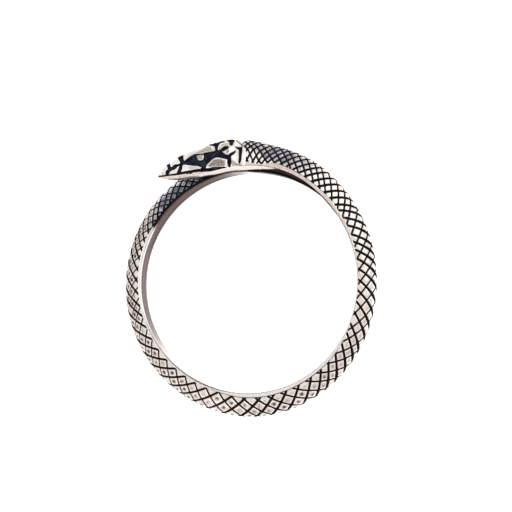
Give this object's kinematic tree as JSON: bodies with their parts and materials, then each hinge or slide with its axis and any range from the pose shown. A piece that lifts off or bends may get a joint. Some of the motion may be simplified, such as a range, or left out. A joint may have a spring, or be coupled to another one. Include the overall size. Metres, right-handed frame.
{
  "type": "snake ring",
  "caption": "Finger ring cast as a scaled snake that lies round the finger, its head passing over its own tail.",
  "frame": {"origin": "on the finger axis, halfway up the body that lies on the table", "axes": "+Z along the finger axis and up, +Y from the finger axis to the neck behind the head, +X to the side that the neck climbs on; the head points along -X"},
  "size_m": [0.0222, 0.0235, 0.0049],
  "materials": {
    "oxidised_silver": "polished on the raised scales and plates, black tarnish in the grooves"
  },
  "bodies": {
    "root": {"snake_ring": "oxidised_silver"}
  },
  "joints": []
}
